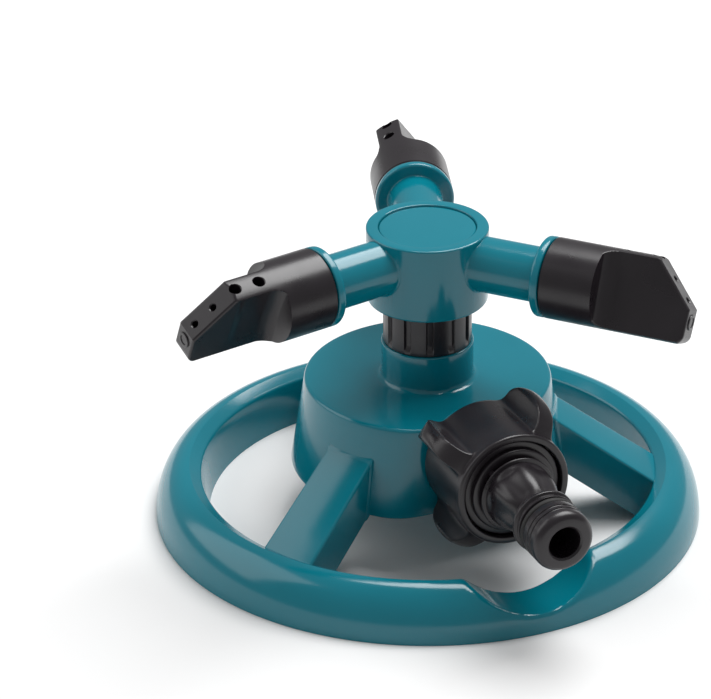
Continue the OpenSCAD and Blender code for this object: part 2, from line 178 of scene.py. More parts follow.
def rounded(corners, steps=5):
    """A closed outline through corners (a, b, radius), each corner an arc tangent to its two sides."""
    corners = np.array(corners, float)
    points = corners[:, :2]
    out = []
    for i, radius in enumerate(corners[:, 2]):
        corner = points[i]
        if radius == 0:
            out.append(corner[None])
            continue
        back, ahead = points[i - 1] - corner, points[(i + 1) % len(points)] - corner
        back, ahead = back / np.linalg.norm(back), ahead / np.linalg.norm(ahead)
        half = math.acos(np.clip(back @ ahead, -1, 1)) / 2
        middle = (back + ahead) / np.linalg.norm(back + ahead)
        centre = corner + middle * radius / math.sin(half)
        first, last = (corner + side * radius / math.tan(half) - centre for side in (back, ahead))
        start = math.degrees(math.atan2(first[1], first[0]))
        sweep = (math.degrees(math.atan2(last[1], last[0])) - start + 180) % 360 - 180
        out.append(arc(centre, radius, start, start + sweep, steps + 1))
    return np.concatenate(out)


def filled_in(outline, step):
    """The closed outline with points added so that none are further apart than step."""
    out = []
    for a, b in zip(outline, np.roll(outline, -1, 0)):
        count = max(1, math.ceil(np.linalg.norm(b - a) / step))
        out.append(a + (b - a) * np.linspace(0, 1, count, endpoint=False)[:, None])
    return np.concatenate(out)


def turned(outline, count=144):
    """The outline (radius, height) carried round the Z axis: a grid of outline by angle."""
    angle = np.linspace(0, TURN, count, endpoint=False)
    r, z = outline[:, :1], outline[:, 1:]
    return np.stack([r * np.cos(angle), r * np.sin(angle), z + 0 * angle], -1)


def rod(radius, low, high, count=64, edge=0.0):
    """A capped cylinder along Z, its two rims cut back by edge."""
    outline = np.array([
        [radius - edge, low], [radius, low + edge], [radius, high - edge], [radius - edge, high]])
    return turned(outline if edge else outline[[0, 3]], count)


def along_arm(grid):
    """A shape turned about Z, laid down to run along X."""
    return np.stack([grid[..., 2], grid[..., 1], -grid[..., 0]], -1)


def on_inlet(grid):
    """A shape turned about Z, moved onto the inlet axis, which points along -Y."""
    return np.stack([grid[..., 0], -grid[..., 2], inlet_z + grid[..., 1]], -1)


def on_arm(grid, side, lean=0.0):
    """A shape drawn along X, leaned about X, then moved onto one arm."""
    x, y, z = grid[..., 0], grid[..., 1], grid[..., 2]
    y, z = y * math.cos(lean) + z * math.sin(lean), z * math.cos(lean) - y * math.sin(lean)
    c, s = math.cos(arm_turn[side]), math.sin(arm_turn[side])
    return np.stack([x * c - y * s, x * s + y * c, arm_z + z], -1)


def solid(grid, capped=True):
    """A closed mesh object from a grid in millimetres whose second way round closes on itself.
    The first way gets a face on each end if capped, and closes on itself if not."""
    rows, columns = grid.shape[:2]
    index = np.arange(rows * columns).reshape(rows, columns)
    ahead = np.roll(index, -1, 0)[: rows - 1 if capped else rows]
    here = index[: len(ahead)]
    faces = np.stack([here, ahead, np.roll(ahead, -1, 1), np.roll(here, -1, 1)], -1).reshape(-1, 4).tolist()
    if capped:
        faces += [index[0].tolist(), index[-1][::-1].tolist()]
    mesh = bpy.data.meshes.new("solid")
    mesh.from_pydata((grid.reshape(-1, 3) * MM).tolist(), [], faces)
    tidy = bmesh.new()
    tidy.from_mesh(mesh)
    bmesh.ops.remove_doubles(tidy, verts=tidy.verts, dist=1e-7)
    bmesh.ops.dissolve_degenerate(tidy, edges=tidy.edges, dist=1e-8)
    if tidy.calc_volume(signed=True) < 0:
        bmesh.ops.reverse_faces(tidy, faces=tidy.faces)
    tidy.to_mesh(mesh)
    tidy.free()
    made = bpy.data.objects.new("solid", mesh)
    bpy.context.scene.collection.objects.link(made)
    return made


def weld(name, joined, cut=(), crease=32):
    """One moulding: the joined solids as one, less the cut ones, shaded smooth up to the crease angle."""
    whole = joined[0]
    for operation, others in (("UNION", joined[1:]), ("DIFFERENCE", cut)):
        for other in others:
            step = whole.modifiers.new(operation, "BOOLEAN")
            step.operation = operation
            step.object = other
            step.solver = "MANIFOLD"
    evaluated = whole.evaluated_get(bpy.context.evaluated_depsgraph_get())
    mesh = bpy.data.meshes.new_from_object(evaluated)
    for used in [*joined, *cut]:
        bpy.data.objects.remove(used)
    mesh.name = name
    mesh.shade_smooth()
    mesh.set_sharp_from_angle(angle=math.radians(crease))
    made = bpy.data.objects.new(name, mesh)
    bpy.context.scene.collection.objects.link(made)
    return made


def finished(piece, body, node, material):
    """Puts the material on a piece, hangs it on the body it rides on, and hides the CAD node it stands for."""
    piece.data.materials.clear()
    piece.data.materials.append(material)
    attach(piece, body)
    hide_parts(node)
    return piece


# ---------- base moulding ----------

def ring_solid():
    """The ring's section, a quarter ellipse outside and a sloping lip inside with an even wall, carried round
    the axis. Its height is cut down to the scoop, a lying cylinder, wherever that is lower."""
    outer = np.concatenate([
        arc((RING_CROWN_R, 0), (ring_r - RING_CROWN_R, RING_CROWN_H), 0, 90, 22),
        arc((RING_LIP[0] + 1.4, RING_LIP[1] - 0.9), 1.4, 118, 172, 6),
        np.linspace([RING_LIP[0] - 0.35, RING_LIP[1] - 2], [RING_INNER_R, 0], 8),
    ])
    inner = np.concatenate([
        np.linspace([RING_INNER_R + RING_WALL, 0], [RING_LIP[0] + RING_WALL, RING_LIP[1] - RING_WALL], 7),
        arc((RING_CROWN_R, 0), (ring_r - RING_CROWN_R - RING_WALL, RING_CROWN_H - RING_WALL), 88, 0, 14),
    ])
    depth = np.concatenate([np.zeros(len(outer)), np.full(len(inner), RING_WALL)])[:, None]
    grid = turned(np.concatenate([outer, inner]), 540)
    x, y, z = grid[..., 0], grid[..., 1], grid[..., 2]
    under = np.sqrt(np.maximum(SCOOP_R**2 - x * x, 0))
    scoop = np.where((np.abs(x) < SCOOP_R) & (y < 0), SCOOP_Z - under, 10 * RING_CROWN_H) - depth
    grid[..., 2] = np.maximum(soft_min(z, scoop, 1.3), np.minimum(z, 0))
    return solid(grid, capped=False)


def leg_solid(angle):
    """A sloping channel: an upside-down U carried outwards, its height and width changing in a straight line.
    Both ends slope to lie inside the housing and the ring, and a small flare meets the housing."""
    edge, inner_edge, flare, sunk = 0.8, 0.4, 0.35, 1.6
    half_at_top, spread = 7.2, 0.8
    bend = arc((0, 0), 1, 180, 90, 6)
    sign = np.concatenate([-np.ones(7), np.ones(7), np.ones(7), -np.ones(7)])
    inset = np.concatenate([[0], edge + edge * bend[:, 0]])
    drop = np.concatenate([[0], edge - edge * bend[:, 1]])
    inner_inset = LEG_WALL + np.concatenate([[0], inner_edge + inner_edge * bend[:, 0]])
    inner_drop = LEG_WALL + np.concatenate([[0], inner_edge - inner_edge * bend[:, 1]])
    inset = np.concatenate([inset, inset[::-1], inner_inset, inner_inset[::-1]])
    drop = np.concatenate([drop, drop[::-1], inner_drop, inner_drop[::-1]])
    at_top = np.tile(np.concatenate([[0], np.ones(6), np.ones(6), [0]]), 2).astype(bool)
    along = np.concatenate([np.linspace(0, 0.12, 14), np.linspace(0.15, 1, 14)])[:, None]
    reach = LEG_TOP[0] + along * (RING_LIP[0] - LEG_TOP[0]) + 0 * drop

    def heights(u):
        top = LEG_TOP[1] + (u - LEG_TOP[0]) * (RING_LIP[1] - LEG_TOP[1]) / (RING_LIP[0] - LEG_TOP[0])
        low = LEG_LOW[1] * (1 - (u - LEG_LOW[0]) / (RING_INNER_R - 0.8 - LEG_LOW[0]))
        return top, np.maximum(low, 0)

    slope = (HOUSING_LOW[0] - HOUSING_TOP[0]) / (HOUSING_TOP[1] - HOUSING_LOW[1])
    swell = 0
    for _ in range(3):
        top, low = heights(reach)
        z = np.where(at_top, top - drop + swell, low)
        wall = HOUSING_TOP[0] + (HOUSING_TOP[1] - z) * slope
        rim = RING_INNER_R + z * (RING_LIP[0] - RING_INNER_R) / RING_LIP[1]
        reach = (wall - sunk) + along * (rim + sunk - wall + sunk)
        away = np.clip(reach - wall, 0, flare)
        swell = flare - np.sqrt(flare**2 - (flare - away) ** 2)
        swell = np.where(drop < LEG_WALL, swell, 0) * np.where(inset < LEG_WALL, 1, 0)
    half = half_at_top + spread * (reach - HOUSING_TOP[0]) / (RING_LIP[0] - HOUSING_TOP[0])
    y = sign * (half - inset + swell)
    turn = math.radians(angle)
    x_row = reach * math.cos(turn) - y * math.sin(turn)
    y_row = reach * math.sin(turn) + y * math.cos(turn)
    return solid(np.stack([x_row, y_row, z], -1))


def housing_solid():
    """The cone with its neck, one closed outline carried round the axis. Points beyond the inlet face are
    brought back to that flat face with a softened corner; the inside does the same one wall further back."""
    low_r, low_z = HOUSING_LOW
    top_r, top_z = HOUSING_TOP
    ceiling = top_z - HOUSING_WALL
    outline = rounded([
        (low_r, low_z, 0.5), (top_r, top_z, 1.1), (NECK_R, top_z, 1.5), (NECK_R, neck_top, 0.45),
        (SOCKET_R, neck_top, 0.3), (SOCKET_R, neck_top - 8.6, 0), (RISER_R, neck_top - 8.6, 0),
        (RISER_R, ceiling, 0), (top_r - HOUSING_WALL, ceiling, 0.8), (low_r - HOUSING_WALL, low_z, 0.5)], 6)
    outline = filled_in(outline, 2.4)
    grid = turned(outline, 360)
    r, z = outline[:, :1], outline[:, 1:]
    skin = top_r + (top_z - z) * (low_r - top_r) / (top_z - low_z)
    inside = (r < skin - HOUSING_WALL / 2) & (z < top_z - HOUSING_WALL / 2) | (r < SOCKET_R + 1)
    limit = np.where(inside, INLET_FACE - HOUSING_WALL, INLET_FACE)
    grid[..., 1] = -soft_min(-grid[..., 1], limit + 0 * grid[..., 1], 3.6)
    return solid(grid, capped=False)


def boss_solid():
    """The round boss over the inlet: a lying cylinder whose top is cut down to a steep slope at the back."""
    angle = np.linspace(0, TURN, 96, endpoint=False)
    s = np.linspace(INLET_FACE - 15, INLET_FACE, 24)[:, None]
    z = inlet_z + BOSS_R * np.sin(angle) + 0 * s
    slope = inlet_z + BOSS_R - (INLET_FACE - 2.2 - s) * math.tan(math.radians(52))
    z = soft_min(z, slope, 1.0)
    z = np.maximum(z, HOUSING_TOP[1] - 1.6)
    return solid(np.stack([BOSS_R * np.cos(angle) + 0 * s, -s + 0 * angle, z], -1))


def thread(grid, low, high):
    """Cuts a helical thread into a turned grid between low and high: the radius shrinks by a triangle wave of
    the height less the angle, with its crests and roots cut flat."""
    x, y, z = grid[..., 0], grid[..., 1], grid[..., 2]
    radius = np.hypot(x, y)
    phase = z / THREAD_PITCH - np.arctan2(y, x) / TURN
    wave = np.abs((phase % 1) - 0.5) * 2
    runout = ease(z - low) * ease((high - z) / 0.8)
    depth = THREAD_DEPTH * np.clip(1.25 * wave - 0.12, 0, 1) * runout
    scale = 1 - depth / radius
    grid[..., 0], grid[..., 1] = x * scale, y * scale
    return grid


def spigot_solid():
    """The inlet spigot: a rod with a chamfered end and a pipe thread."""
    s = np.concatenate([
        [INLET_FACE - 1.2], np.arange(INLET_FACE, SPIGOT_END - 0.5, THREAD_PITCH / 8), [SPIGOT_END]])
    r = np.where(s < SPIGOT_END - 0.2, SPIGOT_R, SPIGOT_R - 0.5)
    grid = turned(np.stack([r, s], -1), 96)
    return on_inlet_solid(thread(grid, INLET_FACE + 1.2, SPIGOT_END - 0.6))


def on_inlet_solid(grid):
    """A capped solid on the inlet axis."""
    return solid(on_inlet(grid))


def make_base(material):
    """Ring, legs, housing, neck, boss and spigot welded into one moulding, with the water way cut through."""
    top_z = HOUSING_TOP[1]
    joined = [housing_solid(), ring_solid()]
    joined += [leg_solid(a) for a in LEG_ANGLES]
    joined += [
        boss_solid(),
        spigot_solid(),
        solid(rod(RISER_R + WATER_WALL, inlet_z - INLET_BORE_R - WATER_WALL, top_z - 1, 72, 0.4)),
        on_inlet_solid(rod(INLET_BORE_R + WATER_WALL - 0.6, 0, INLET_FACE - 1, 72)),
    ]
    cut = [
        solid(rod(RISER_R, inlet_z, top_z + 4, 64)),
        on_inlet_solid(rod(INLET_BORE_R, 0, SPIGOT_END + 1, 64)),
    ]
    return finished(weld("base_moulding", joined, cut), "base", "base_frame", material)


# ---------- fixed spindle ----------

def make_spindle(material):
    """The spindle's outline carried round the axis. On the collar the radius dips in even slots, a smooth
    square wave of the angle, faded out at the collar's top and foot."""
    collar_top = neck_top + COLLAR_H
    journal_top = hub_base + 5
    low = neck_top - 8.2
    top = spindle_high[2]
    outline = rounded([
        (3.2, low, 0), (SOCKET_R, low, 0.4), (SOCKET_R, neck_top - 3.9, 0), (7.3, neck_top - 3.9, 0),
        (7.3, neck_top - 2.1, 0), (SOCKET_R, neck_top - 2.1, 0), (SOCKET_R, neck_top, 0),
        (COLLAR_R, neck_top, 0.35), (COLLAR_R, collar_top, 0.5), (6, collar_top, 0),
        (6, journal_top, 0), (5.2, journal_top, 0),
        (5.2, top - 2.4, 0), (4, top - 2.4, 0), (4, top, 0.3), (1.5, top, 0), (1.5, top - 5.4, 0),
        (0.4, top - 5.4, 0), (0.4, top - 6.4, 0), (3.2, top - 6.4, 0)], 4)
    outline = filled_in(outline, 1.0)
    grid = turned(outline, 432)
    x, y, z = grid[..., 0], grid[..., 1], grid[..., 2]
    radius = np.hypot(x, y)
    slots, slot_depth = 12, 0.75
    wave = np.cos(slots * (np.arctan2(y, x) - math.radians(9)))
    slot = ease((wave - 0.55) / 0.2)
    band = ease((z - neck_top - 1.1) / 0.7) * ease((collar_top - 0.9 - z) / 0.7) * (radius > COLLAR_R - 0.6)
    scale = 1 - slot_depth * slot * band / radius
    grid[..., 0], grid[..., 1] = x * scale, y * scale
    port_z = journal_top + 2.6
    cuts = []
    for axis in (0, 1):
        port = rod(2.1, -8, 8, 40)
        order = [2, 0, 1] if axis == 0 else [0, 2, 1]
        port = port[..., order]
        port[..., 2] += port_z
        cuts.append(solid(port))
    grooves = [hub_base + 1.5, hub_base + 3.7]
    for z0 in grooves:
        ring = turned(np.array([[4.38, z0 - 1], [8, z0 - 1], [8, z0 + 1], [4.38, z0 + 1]]), 96)
        cuts.append(solid(ring, capped=False))
    piece = weld("spindle_collar", [solid(grid, capped=False)], cuts)
    return finished(piece, "base", "spindle", material)


# ---------- rotor ----------

def arm_solid(side):
    """An arm: an outline carried round its axis, with flange, seal groove and snap bead. Near the hub its
    radius flares by a quarter-round, measured from the hub's curved wall."""
    groove_r, bead_r = 5.98, 8.15
    root = 12.5
    outline = np.concatenate([
        np.stack([np.full(30, ARM_R), np.linspace(root, HUB_R + 2.4, 30)], -1),
        [[ARM_R, ARM_REACH - 3.4]],
        arc((ARM_R + 0.4, ARM_REACH - 2.8), 0.4, 180, 90, 5),
        arc((FLANGE_R - 0.8, ARM_REACH - 1.6), 0.8, -90, 0, 7),
        arc((FLANGE_R - 0.5, ARM_REACH - 0.5), 0.5, 0, 90, 4),
        [[SPIGOT_ARM_R, ARM_REACH], [SPIGOT_ARM_R, ARM_SEAL - 1], [groove_r, ARM_SEAL - 1],
         [groove_r, ARM_SEAL + 1], [SPIGOT_ARM_R, ARM_SEAL + 1], [SPIGOT_ARM_R, ARM_BEAD - 0.6],
         [bead_r, ARM_BEAD - 0.2], [bead_r, ARM_BEAD + 0.2], [SPIGOT_ARM_R, ARM_BEAD + 0.6],
         [SPIGOT_ARM_R, ARM_END - 0.3], [SPIGOT_ARM_R - 0.4, ARM_END]],
    ])
    grid = along_arm(turned(outline, 112))
    flare = 0.45
    wall = np.sqrt(np.maximum(HUB_R**2 - grid[..., 1] ** 2, 0))
    away = np.clip(grid[..., 0] - wall, 0, flare)
    swell = flare - np.sqrt(flare**2 - (flare - away) ** 2)
    low_enough = ease((hub_top - arm_z - 0.9 - grid[..., 2]) / 1.6)
    grid[..., 1:] *= (1 + swell * low_enough / ARM_R)[..., None]
    return solid(on_arm(grid, side))


def make_hub(material):
    """The hub's closed outline carried round the axis, welded to the three arms and bored through."""
    spindle_bore, head_well, chamber_r, taper = 6.06, 8.6, 11, 0.1
    outline = rounded([
        (spindle_bore, hub_base, 0), (HUB_R - taper, hub_base, 0.6), (HUB_R + taper, hub_top, 0.5),
        (cap_r + 0.12, hub_top, 0.35), (cap_r + 0.05, hub_top - 2, 0), (head_well, hub_top - 2, 0),
        (head_well, hub_top - 4.5, 0), (4.06, hub_top - 4.5, 0), (4.06, hub_top - 6.5, 0),
        (chamber_r, hub_top - 6.5, 0), (chamber_r, hub_base + 5, 0), (spindle_bore, hub_base + 5, 0)], 5)
    joined = [solid(turned(outline, 192), capped=False)] + [arm_solid(s) for s in SIDES]
    cut = [solid(on_arm(along_arm(rod(ARM_BORE_R, 10.6, ARM_END + 1, 56)), s)) for s in SIDES]
    return finished(weld("hub_and_arms", joined, cut), "rotor", "rotor_hub", material)


def make_cap(material):
    """A disc with a softened rim, very slightly crowned, carried round the axis from its centre outwards."""
    low, high = cap_low[2], cap_high[2]
    r = np.linspace(0.2, cap_r - 0.3, 20)
    top = np.stack([r, high - 0.10 * (r / cap_r) ** 2], -1)
    under = [[cap_r, high - 0.4], [cap_r, low], [4.6, low], [4.6, low + 0.7], [0.2, low + 0.7]]
    outline = np.concatenate([top, under])
    return finished(weld("hub_cap_disc", [solid(turned(outline, 160))]), "rotor", "hub_cap", material)


# ---------- nozzles ----------

def nozzle_grid(inset, start, step=0.0, half_cap=None):
    """Rounds of a nozzle along X. Each round starts as a circle. Its height is held between the blade's top
    and bottom lines. Its half width is held under the cove, which is a quarter circle, and then under the
    blade's flat sides. Near every edge of the blade it shrinks along a quarter circle of the edge's distance.
    One side steps back by step below the strip that holds the jets. With an inset it is the inner channel."""
    radius = NOZZLE_R - inset
    tip = BEVEL_END[0] - inset
    foot_x = TIP_FOOT[0] - inset
    cove_end = BARREL_END + COVE_R
    x = np.concatenate([
        np.linspace(start, BARREL_END - 0.4, 8), np.linspace(BARREL_END - 0.3, cove_end, 34),
        np.linspace(cove_end + 0.4, BEVEL_START - 1, 14),
        np.linspace(BEVEL_START - 0.8, BEVEL_START + 1.2, 14),
        np.linspace(BEVEL_START + 1.6, foot_x - 3.4, 14), np.linspace(foot_x - 3.2, foot_x - 0.7, 12),
        np.linspace(foot_x - 0.6, foot_x, 8), np.linspace(foot_x + 0.02, tip, 14)])
    x = x[(x >= start) & (x <= tip)][:, None]
    near_z, beyond = 0.5, 0.52  # radians either side of upright, where the points lie closest
    angle = np.concatenate([
        np.linspace(-near_z, near_z, 27), np.linspace(beyond, math.pi - beyond, 84),
        np.linspace(math.pi - near_z, math.pi + near_z, 27),
        np.linspace(math.pi + beyond, TURN - beyond, 84)])
    y0, z0 = radius * np.sin(angle) + 0 * x, radius * np.cos(angle) + 0 * x
    bevel = (BEVEL_END[1] - NOZZLE_R) / (BEVEL_END[0] - BEVEL_START)
    top = NOZZLE_R - inset * 1.5 + (x - BEVEL_START) * bevel
    near_tip = np.clip(x - (foot_x - TIP_CORNER_R), 0, TIP_CORNER_R)
    low = inset - NOZZLE_R + TIP_CORNER_R - np.sqrt(TIP_CORNER_R**2 - near_tip**2)
    low = low + np.maximum(x - foot_x, 0) * (BEVEL_END[1] - TIP_FOOT[1]) / (BEVEL_END[0] - TIP_FOOT[0])
    low = np.minimum(np.where(x < BARREL_END, -2 * NOZZLE_R, low), top)
    z = np.maximum(soft_min(z0, top, 0.7), low)
    near = np.clip(cove_end - 0.7 - x, 0, COVE_R)
    width = BLADE_HALF + COVE_R - np.sqrt(COVE_R**2 - near**2)
    width = np.where(x < BARREL_END, 2 * NOZZLE_R, width)
    below = np.clip((NOZZLE_R - 0.9 - z) / 0.7, 0, 1)
    fade = ease((z + NOZZLE_R) / 13) * ease((BEVEL_START - 0.4 - x) / 3.2)
    stepped = step * np.sqrt(1 - (1 - below) ** 2) * fade * (y0 > 0)
    face = foot_x + (z - TIP_FOOT[1]) * (BEVEL_END[0] - TIP_FOOT[0]) / (BEVEL_END[1] - TIP_FOOT[1])
    from_top = (top - z) * 0.65 + 2 * BLADE_EDGE_R * ease((BEVEL_START - x) / 4)
    from_tip = np.where(z > TIP_FOOT[1] - 1, face - x, BLADE_EDGE_R)
    edge = np.minimum(np.minimum(from_top, z - low), from_tip)
    edge = np.where(x < BARREL_END + 3, BLADE_EDGE_R, np.clip(edge, 0, BLADE_EDGE_R))
    shrink = BLADE_EDGE_R - np.sqrt(BLADE_EDGE_R**2 - (BLADE_EDGE_R - edge) ** 2)
    width = width - stepped - shrink - inset
    if half_cap:
        width = np.minimum(width, half_cap)
    y = np.sign(y0) * soft_min(np.abs(y0), width, 0.3)
    y = np.where(np.abs(y0) < 1e-6, 0, y)
    return np.stack([x + 0 * y, y, z], -1)


def jet(place, down, radius, mouth=0.25, depth=7.0):
    """A jet hole's cutter: a rod sunk into the blade at place (x, z), leaning by down degrees, with a
    bevelled mouth."""
    outline = np.array([[radius, -depth], [radius, -mouth], [radius + mouth + 0.3, 0.3]])
    grid = turned(outline, 40)
    t = math.radians(down)
    x = grid[..., 2] * math.sin(t) + grid[..., 0] * math.cos(t) + place[0]
    z = grid[..., 2] * math.cos(t) - grid[..., 0] * math.sin(t) + place[1]
    return np.stack([x, grid[..., 1], z], -1)


def make_nozzle(side, material):
    """Barrel and blade in one skin, a gate mark on the tip, and the bore, inner channel and jets cut out."""
    lean = nozzle_lean[side]
    start = ARM_REACH + 0.3
    rim_edge = 0.35

    def placed(grid):
        return solid(on_arm(grid, side, lean))

    skin = nozzle_grid(0, start + rim_edge, WEB_STEP)
    rim = skin[0].copy()
    rim[:, 0] = start
    rim[:, 1:] *= (NOZZLE_R - rim_edge) / NOZZLE_R
    skin = np.concatenate([rim[None], skin])
    slope = math.degrees(math.atan2(NOZZLE_R - BEVEL_END[1], BEVEL_END[0] - BEVEL_START))
    tip_slope = math.degrees(math.atan2(BEVEL_END[0] - TIP_FOOT[0], BEVEL_END[1] - TIP_FOOT[1]))
    gate_x = (BEVEL_END[0] + TIP_FOOT[0]) / 2 + 0.05
    gate_z = (BEVEL_END[1] + TIP_FOOT[1]) / 2
    gate = np.array([[1.0, 0.1], [1.35, 0.1], [1.35, 0.24], [1.7, 0.34], [2.1, 0.24], [2.3, -0.8]])
    gate = turned(gate, 40)
    t = math.radians(90 + tip_slope)
    gate = np.stack([
        gate[..., 2] * math.sin(t) + gate[..., 0] * math.cos(t) + gate_x, gate[..., 1],
        gate[..., 2] * math.cos(t) - gate[..., 0] * math.sin(t) + gate_z], -1)
    on_bevel = [(BEVEL_START + f * (BEVEL_END[0] - BEVEL_START), NOZZLE_R + f * (BEVEL_END[1] - NOZZLE_R))
                for f in (0.42, 0.82)]
    bore_r, groove_r, mouth_r = 7.66, 8.21, 7.9
    bore = turned(np.array([
        [mouth_r, start - 1], [mouth_r, start], [bore_r, start + 0.3], [bore_r, ARM_BEAD - 0.8],
        [groove_r, ARM_BEAD - 0.8], [groove_r, ARM_BEAD + 0.8], [bore_r, ARM_BEAD + 0.8],
        [bore_r, ARM_END + 0.6]]), 72)
    blade_wall, channel_half = 1.8, 1.3
    wide_jet, fine_jet = 1.6, 0.9
    cuts = [
        placed(along_arm(bore)),
        placed(nozzle_grid(blade_wall, ARM_END - 1, half_cap=channel_half)),
        placed(jet((BEVEL_START - 8.4, NOZZLE_R), 0, wide_jet)),
        placed(jet((BEVEL_START - 1.1, NOZZLE_R), 0, wide_jet)),
        placed(jet(on_bevel[0], slope, fine_jet)),
        placed(jet(on_bevel[1], slope, fine_jet)),
    ]
    piece = weld("nozzle_" + side + "_moulding", [placed(skin), placed(gate)], cuts)
    return finished(piece, side + "_nozzle", "nozzle_" + side, material)


# ---------- hose inlet ----------

def grip_outline(base, lobe, foot, phase, lobes=4):
    """The nut's grip seen end on: a circle, and lobes of width lobe with round tops and hollow feet of radius
    foot. Returned as angles and radii, and the radius of the lobes' tops."""
    foot_y = lobe / 2 + foot
    foot_x = math.sqrt((base + foot) ** 2 - foot_y**2)
    lean = math.degrees(math.atan2(foot_y, foot_x))
    one = np.concatenate([
        arc((0, 0), base, -180 / lobes, -lean, 14)[:-1],
        arc((foot_x, -foot_y), foot, 180 - lean, 90, 14),
        arc((foot_x, 0), lobe / 2, -90, 90, 20)[1:-1],
        arc((foot_x, foot_y), foot, -90, -180 + lean, 14),
        arc((0, 0), base, lean, 180 / lobes, 14)[1:-1],
    ])
    angle = np.arctan2(one[:, 1], one[:, 0])
    radius = np.hypot(one[:, 0], one[:, 1])
    angles = np.concatenate([angle + phase + TURN * k / lobes for k in range(lobes)])
    return angles, np.tile(radius, lobes), foot_x + lobe / 2


def make_nut(material):
    """The grip outline carried along the inlet, held inside a dome that falls to the front rim and outside a
    plain body, then round the front rim, through the counterbore, lip and bore, and back."""
    base_r, front_r = SPIGOT_R + 2.4, 15.9
    angle, grip, top_r = grip_outline(base_r, 4.6, 4.0, math.radians(54.5))
    crest_s = nut_back + 7.5
    grip = grip + 2.2 * ease((grip - base_r - 0.5) / 3.0)
    top_r = top_r + 2.0
    back_edge, rim_edge = 1.2, 0.7
    s = np.concatenate([
        np.linspace(nut_back, nut_back + back_edge, 6), np.linspace(nut_back + 1.6, nut_front - 4, 26),
        np.linspace(nut_front - 3.7, nut_front - rim_edge, 14)])[:, None]
    back_round = np.clip(back_edge - (s - nut_back), 0, back_edge)
    behind = np.clip((crest_s - s) / (crest_s - nut_back + 1.5), 0, 1)
    ahead = np.clip((s - crest_s) / (nut_front - 1.6 - crest_s), 0, 1)
    dome = front_r - 3 + (top_r - front_r + 3) * np.sqrt(1 - ahead**2.1) - 8 * (1 - np.sqrt(1 - behind**2))
    t = (s - nut_back) / (nut_front - nut_back)
    plain = base_r + (front_r - base_r) * ease(t * 1.3)
    plain = plain - (0.8 - np.sqrt(0.64 - np.clip(back_round - 0.4, 0, 0.8) ** 2))
    radius = soft_max(soft_min(grip + 0 * s, dome, 0.8), plain, 0.5)
    plain_end = plain[-1, 0]
    lip_back = nipple_back + 2.3
    lip_front = lip_back + 3.4
    counter_r, counter_edge, neck_hole_r, collar_hole_r, bore_r = 13.9, 0.45, 9.46, 10.6, 13.26
    rest = np.concatenate([
        arc((front_r - rim_edge, nut_front - rim_edge), rim_edge, 0, 90, 6)[1:],
        arc((counter_r + counter_edge, nut_front - counter_edge), counter_edge, 90, 180, 4),
        [[counter_r, lip_front], [neck_hole_r, lip_front], [neck_hole_r, lip_back], [collar_hole_r, lip_back],
         [collar_hole_r, nipple_back], [bore_r, nipple_back], [bore_r, nut_back + 0.6], [13.7, nut_back]],
    ])
    outside = rest[:, :1] > 15
    fading = np.linspace(1, 0, len(rest))[:, None]
    inner_r = rest[:, :1] + (radius[-1] - plain_end) * fading * outside
    radius = np.concatenate([radius, inner_r])
    height = np.concatenate([s, rest[:, 1:]])
    grid = np.stack([radius * np.cos(angle), radius * np.sin(angle), height + 0 * radius], -1)
    piece = weld("coupling_nut_moulding", [solid(on_inlet(grid), capped=False)], crease=40)
    return finished(piece, "nut", "coupling_nut", material)


